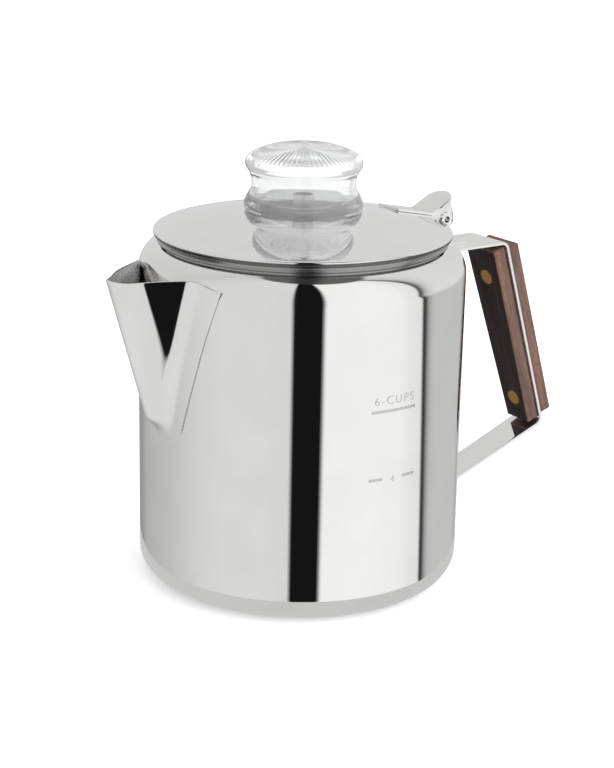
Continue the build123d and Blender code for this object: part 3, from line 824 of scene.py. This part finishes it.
class PERCOLATOR_OT_clear_top(Operator):
    """Mould the hollow clear top, with rays in its dome"""

    bl_idname = "percolator.clear_top"
    bl_label = "Clear top"

    def execute(self, context):
        sizes = context.scene.percolator_top
        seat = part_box("lid")[1].z / MM + 0.1
        piece = turned("moulded_top", top_outline(sizes, seat), sizes.flutes * 6)
        inner_dome = sizes.apex - 7.0 * MM
        for vertex in piece.data.vertices:
            radius = hypot(vertex.co.x, vertex.co.y) / MM
            if vertex.co.z < inner_dome or vertex.co.z > sizes.apex - 2.5 * MM and radius > 17.6:
                continue
            ray = cos(sizes.flutes * Vector((vertex.co.x, vertex.co.y)).angle_signed(Vector((1, 0)), 0.0))
            window = smooth_step(radius, 1.5, 5.0) * (1 - smooth_step(radius, 17.0, 19.6))
            is_inside = vertex.co.z < sizes.apex - sizes.wall * 0.9 - (radius / 20) ** 2 * 3.2 * MM
            vertex.co.z += (sizes.flute_depth if is_inside else -sizes.outer_flute_depth) * ray * window
        smooth(piece)
        finish_piece(piece, "top", material_of(clear_plastic), "clear_plastic", "clear_top")
        return {"FINISHED"}


# ---- handle -------------------------------------------------------------------------------------------
def bend(before, corner, after, radius, steps=8):
    """Points of a round bend of a given radius between two straight stretches of a path."""
    first = (Vector(before) - Vector(corner)).normalized()
    second = (Vector(after) - Vector(corner)).normalized()
    half = first.angle(second) / 2
    middle = Vector(corner) + (first + second).normalized() * radius / sin(half)
    start = Vector(corner) + first * radius / tan(half) - middle
    sweep = start.angle_signed(Vector(corner) + second * radius / tan(half) - middle)
    return [middle + Matrix.Rotation(-sweep * k / steps, 2) @ start for k in range(steps + 1)]


def strap_path(sizes, wall):
    """The strap's middle line as (distance from the axis, height) points in millimetres, foot to foot."""
    face = wall + sizes.sheet / MM / 2 + 0.05
    top = (sizes.top_reach / MM, sizes.top_height / MM)
    lower = (sizes.low_reach / MM, sizes.low_height / MM)
    corners = [(face, 100.0), (face, top[1]), top, lower, (face, 18.5), (face, 9.6)]
    radii = (1.2, sizes.bend / MM, sizes.bend / MM, 1.2)
    path = [Vector(corners[0])]
    for k, radius in enumerate(radii):
        path += bend(corners[k], corners[k + 1], corners[k + 2], radius)
    path.append(Vector(corners[-1]))
    fine = [path[0]]
    for point in path[1:]:
        parts = max(1, round((point - fine[-1]).length / 4.0))
        start = fine[-1]
        fine += [start.lerp(point, (k + 1) / parts) for k in range(parts)]
    return fine


class PERCOLATOR_OT_handle(Operator):
    """Soften the strap and the wood grips and finish their rivets"""

    bl_idname = "percolator.handle"
    bl_label = "Handle"

    def execute(self, context):
        sizes = context.scene.percolator_handle
        wall = context.scene.percolator_pot.radius / MM
        path = strap_path(sizes, wall)
        columns = 12
        deselect()
        bpy.ops.mesh.primitive_grid_add(x_subdivisions=columns, y_subdivisions=len(path) - 1, size=2)
        strap = bpy.context.object
        strap.name = "bent_strap"
        top, foot = sizes.top_height / MM, 18.5
        for vertex in strap.data.vertices:
            place = path[round((vertex.co.y + 1) / 2 * (len(path) - 1))]
            rise = min(1.0, max(0.0, (place.y - foot) / (top - foot)))
            half = (sizes.low_width + (sizes.top_width - sizes.low_width) * rise) / MM / 2
            across = vertex.co.x * half
            hug = (wall - sqrt(wall**2 - across**2)) * (1 - smooth_step(place.x, wall + 1.0, wall + 9.0))
            vertex.co = Vector((place.x - hug, across, place.y)) * MM
        apply_modifier(strap, "SOLIDIFY", thickness=sizes.sheet, offset=0.0)
        edge = {"width": 0.28 * MM, "segments": 3}
        apply_modifier(strap, "BEVEL", limit_method="ANGLE", angle_limit=radians(60), **edge)
        smooth(strap)
        finish_piece(strap, "pot", material_of(strap_steel), "bright_steel", "handle_strap")
        face_direction = Vector((cos(GRIP_LEAN), 0, sin(GRIP_LEAN)))
        for source, name in (("inner_grip", "wood_grip_inner"), ("outer_grip", "wood_grip_outer")):
            grip = softened_copy(source, name, 0.3, 3)
            finish_piece(grip, "pot", [material_of(wood_edge), material_of(wood_face)], "rosewood", source)
            for face in grip.data.polygons:
                face.material_index = 1 if abs(face.normal.dot(face_direction)) > 0.9 else 0
        for source in ("rivet_posts", "rivet_sleeves"):
            nodes[source].material_slots[0].material = material_of(brass)
        return {"FINISHED"}


# ---- hinge --------------------------------------------------------------------------------------------
class PERCOLATOR_OT_hinge(Operator):
    """Soften the hinge's leaf and finish its bracket and pin"""

    bl_idname = "percolator.hinge"
    bl_label = "Hinge"

    def execute(self, context):
        leaf = softened_copy("hinge_leaf", "folded_leaf", 0.2)
        finish_piece(leaf, "lid", material_of(strap_steel), "bright_steel", "hinge_leaf")
        for source in ("hinge_pin", "hinge_bracket"):
            nodes[source].material_slots[0].material = material_of(strap_steel)
        return {"FINISHED"}


# ---- inside -------------------------------------------------------------------------------------------
class PERCOLATOR_OT_inside(Operator):
    """Finish the pump, the basket and the spreader"""

    bl_idname = "percolator.inside"
    bl_label = "Pump and basket"

    def execute(self, context):
        inside = ("pump_tube", "pump_bell", "valve_seat", "valve_disc", "stem_collar")
        for source in (*inside, "basket", "basket_tube", "spreader"):
            nodes[source].material_slots[0].material = material_of(spun_aluminium)
        return {"FINISHED"}


# ---- stage --------------------------------------------------------------------------------------------
def emission(name, value):
    """A plain glowing material."""
    material = bpy.data.materials.new(name)
    material.use_nodes = True
    tree = material.node_tree
    tree.nodes.clear()
    glow = node(tree, "ShaderNodeEmission")
    glow.inputs["Color"].default_value = (value, value, value, 1)
    output = node(tree, "ShaderNodeOutputMaterial")
    tree.links.new(glow.outputs["Emission"], output.inputs["Surface"])
    return material


def make_floor():
    """A pale floor that the polished steel doesn't mirror, and a small glowing disc close by that is seen
    only in reflections, its glow dimmed as painted shade of the floor under the pot.
    """
    deselect()
    bpy.ops.mesh.primitive_plane_add(size=12, location=(0, 0, 0))
    floor = bpy.context.object
    floor.name = "floor"
    floor.visible_glossy = False
    material, tree, bsdf = new_material("floor_paper")
    bsdf.inputs["Base Color"].default_value = (0.9, 0.9, 0.9, 1)
    bsdf.inputs["Roughness"].default_value = 1.0
    bsdf.inputs["Specular IOR Level"].default_value = 0.0
    bsdf.inputs["Emission Color"].default_value = (1, 1, 1, 1)
    bsdf.inputs["Emission Strength"].default_value = 0.2
    floor.data.materials.append(material)
    deselect()
    place = (0, 0, 0.02 * MM)
    bpy.ops.mesh.primitive_circle_add(vertices=96, radius=79 * MM, fill_type="NGON", location=place)
    near_floor = bpy.context.object
    near_floor.name = "near_floor"
    near_floor.visible_camera = False
    near_floor.visible_diffuse = False
    near_floor.visible_shadow = False
    near_floor.visible_transmission = False
    # Its dim glow is painted shade: the floor in the pot's shadow as the steel would mirror it.
    near_floor.data.materials.append(emission("near_floor_glow", 0.60))


# Brightness of the studio round the pot, as (bearing from the camera in degrees, brightness).
STUDIO = (
    (-180, 0.30), (-152, 0.33), (-142, 0.45), (-129, 0.49), (-101, 0.565), (-77, 0.675), (-52, 0.735),
    (-25, 0.745),
    (-7.0, 0.72), (-4.2, 0.008), (14.8, 0.008), (17.4, 0.93), (50, 0.95), (75, 0.93), (88, 0.84), (95, 0.82),
    (97.2, 0.04), (99.2, 0.04), (102, 0.32), (106, 0.52), (112, 0.565), (150, 0.55), (160, 0.40), (180, 0.60),
)


def world_math(tree, operation, first, second=None):
    """A math node on sockets or numbers."""
    made = node(tree, "ShaderNodeMath", operation=operation)
    for socket, value in zip(made.inputs, (first, second)):
        if isinstance(value, bpy.types.NodeSocket):
            tree.links.new(value, socket)
        elif value is not None:
            socket.default_value = value
    return made.outputs["Value"]


def world_step(tree, value, start, end):
    """0 before start and 1 after end, smooth between."""
    made = node(tree, "ShaderNodeMapRange", interpolation_type="SMOOTHSTEP")
    made.inputs["From Min"].default_value = start
    made.inputs["From Max"].default_value = end
    tree.links.new(value, made.inputs["Value"])
    return made.outputs["Result"]


def world_mix(tree, factor, first, second):
    """A linear mix of two values."""
    made = node(tree, "ShaderNodeMix", data_type="FLOAT")
    for socket, value in ((made.inputs[0], factor), (made.inputs[2], first), (made.inputs[3], second)):
        if isinstance(value, bpy.types.NodeSocket):
            tree.links.new(value, socket)
        else:
            socket.default_value = value
    return made.outputs[0]


def make_world(stage):
    """A white studio: soft panels round the pot for what is mirrored, and even light for the rest."""
    world = bpy.data.worlds.new("studio")
    bpy.context.scene.world = world
    world.use_nodes = True
    tree = world.node_tree
    tree.nodes.clear()
    direction = node(tree, "ShaderNodeTexCoord").outputs["Generated"]
    turn = node(tree, "ShaderNodeVectorRotate", rotation_type="Z_AXIS")
    turn.inputs["Angle"].default_value = -stage.azimuth
    tree.links.new(direction, turn.inputs["Vector"])
    parts = node(tree, "ShaderNodeSeparateXYZ")
    tree.links.new(turn.outputs["Vector"], parts.inputs["Vector"])
    x, y, z = parts.outputs["X"], parts.outputs["Y"], parts.outputs["Z"]
    bearing = world_math(tree, "ARCTAN2", x, world_math(tree, "MULTIPLY", y, -1.0))
    # The right-hand panel stands close by, so its far edge leans.
    far_right = world_step(tree, bearing, radians(60), radians(85))
    steep = world_math(tree, "MAXIMUM", world_math(tree, "MINIMUM", z, -0.1), -0.5)
    lean = world_math(tree, "MULTIPLY_ADD", steep, 0.72)
    lean.node.inputs[2].default_value = 0.24
    leaned = world_math(tree, "ADD", bearing, world_math(tree, "MULTIPLY", far_right, lean))
    share = world_math(tree, "MULTIPLY_ADD", leaned, 1 / (2 * pi))
    share.node.inputs[2].default_value = 0.5
    ramp = node(tree, "ShaderNodeValToRGB")
    stops = ramp.color_ramp.elements
    for degrees_round, value in STUDIO:
        stop = stops.new((degrees_round + 180) / 360)
        stop.color = (value, value, value, 1)
    stops.remove(stops[0])
    stops.remove(stops[-1])
    tree.links.new(share, ramp.inputs["Fac"])
    panels = ramp.outputs["Color"]
    # The upper background behind the pot is lighter than the lower one.
    behind = world_math(tree, "MULTIPLY", world_step(tree, z, -0.22, -0.09), world_step(tree, y, -0.1, 0.3))
    backdrop = world_math(tree, "MULTIPLY_ADD", x, 0.06)
    backdrop.node.inputs[2].default_value = 0.70
    sides = world_mix(tree, behind, panels, backdrop)
    # A dim ceiling, darkest straight above the gap between the panels.
    aside = world_math(tree, "MULTIPLY", world_math(tree, "ADD", x, -0.07), world_math(tree, "ADD", x, -0.07))
    ahead = world_math(tree, "MULTIPLY", world_math(tree, "ADD", y, -0.02), world_math(tree, "ADD", y, -0.02))
    from_middle = world_math(tree, "SQRT", world_math(tree, "ADD", aside, ahead))
    upward = world_math(tree, "GREATER_THAN", z, 0.0)
    inside_ceiling = world_math(tree, "MULTIPLY", upward, world_step(tree, from_middle, 0.36, 0.30))
    from_gap = world_math(tree, "ABSOLUTE", world_math(tree, "ADD", x, -0.03))
    ceiling_side = world_step(tree, from_gap, 0.03, 0.16)
    ceiling = world_mix(tree, ceiling_side, 0.035, 0.125)
    mirrored = world_mix(tree, inside_ceiling, sides, ceiling)
    # Even light for everything matt, stronger from the camera's right.
    toward_camera = world_math(tree, "MULTIPLY", y, -0.5)
    matt = world_math(tree, "MULTIPLY_ADD", x, 1.1)
    matt.node.inputs[2].default_value = 1.5
    matt = world_math(tree, "MAXIMUM", world_math(tree, "ADD", matt, toward_camera), 0.3)
    paths = node(tree, "ShaderNodeLightPath")
    seen = world_math(tree, "MAXIMUM", paths.outputs["Is Camera Ray"], paths.outputs["Is Transmission Ray"])
    not_glossy = world_mix(tree, seen, matt, 0.985)
    strength = world_mix(tree, paths.outputs["Is Glossy Ray"], not_glossy, mirrored)
    background = node(tree, "ShaderNodeBackground")
    background.inputs["Color"].default_value = (1, 1, 1, 1)
    world.cycles.sampling_method = "NONE"
    tree.links.new(strength, background.inputs["Strength"])
    output = node(tree, "ShaderNodeOutputWorld")
    tree.links.new(background.outputs["Background"], output.inputs["Surface"])


def make_camera(stage):
    """The camera, looking at the pot from its spout side and a little above."""
    bearing = stage.azimuth
    rise = stage.elevation
    right = Vector((cos(bearing), sin(bearing), 0))
    back = Vector((sin(bearing) * cos(rise), -cos(bearing) * cos(rise), sin(rise)))
    up = back.cross(right)
    target = right * stage.across + Vector((0, 0, stage.target_height))
    side = right * cos(stage.roll) + up * sin(stage.roll)
    rolled_up = up * cos(stage.roll) - right * sin(stage.roll)
    place = target + back * stage.distance
    deselect()
    bpy.ops.object.camera_add(location=place)
    camera = bpy.context.object
    camera.matrix_world = Matrix((side, rolled_up, back)).transposed().to_4x4()
    camera.location = place
    camera.data.lens = stage.lens
    camera.data.sensor_width = 36
    camera.data.clip_start = 0.01
    camera.data.clip_end = 50
    bpy.context.scene.camera = camera


class PERCOLATOR_OT_stage(Operator):
    """Set up the floor, the studio light and the camera"""

    bl_idname = "percolator.stage"
    bl_label = "Stage"

    def execute(self, context):
        stage = context.scene.percolator_stage
        make_floor()
        make_world(stage)
        make_camera(stage)
        context.scene.view_settings.view_transform = "Standard"
        return {"FINISHED"}


class PERCOLATOR_PT_panel(Panel):
    """Sizes, finishes and the steps that build the percolator"""

    bl_label = "Coffee Percolator"
    bl_idname = "PERCOLATOR_PT_panel"
    bl_space_type = "VIEW_3D"
    bl_region_type = "UI"
    bl_category = "Percolator"

    def draw(self, context):
        for name, group in GROUPS.items():
            column = self.layout.column(heading=group.__name__)
            for prop in group.__annotations__:
                column.prop(getattr(context.scene, name), prop)
        for step in STEPS:
            self.layout.operator(step.bl_idname)


GROUPS = {
    "percolator_pot": PotSizes,
    "percolator_spout": SpoutSizes,
    "percolator_lid": LidSizes,
    "percolator_top": TopSizes,
    "percolator_handle": HandleSizes,
    "percolator_finishes": Finishes,
    "percolator_stage": StageSizes,
}
STEPS = (
    PERCOLATOR_OT_stage,
    PERCOLATOR_OT_pot,
    PERCOLATOR_OT_spout,
    PERCOLATOR_OT_lid,
    PERCOLATOR_OT_clear_top,
    PERCOLATOR_OT_handle,
    PERCOLATOR_OT_hinge,
    PERCOLATOR_OT_inside,
)


def register():
    """Registers the properties, the steps and the panel."""
    for group in GROUPS.values():
        bpy.utils.register_class(group)
    for name, group in GROUPS.items():
        setattr(bpy.types.Scene, name, PointerProperty(type=group))
    for step in (*STEPS, PERCOLATOR_PT_panel):
        bpy.utils.register_class(step)


def unregister():
    """Removes what register added."""
    for step in (PERCOLATOR_PT_panel, *reversed(STEPS)):
        bpy.utils.unregister_class(step)
    for name, group in reversed(GROUPS.items()):
        delattr(bpy.types.Scene, name)
        bpy.utils.unregister_class(group)


def main():
    """Builds the percolator step by step."""
    register()
    for step in STEPS:
        group, name = step.bl_idname.split(".")
        getattr(getattr(bpy.ops, group), name)()
    deselect()


if __name__ == "__main__":
    main()
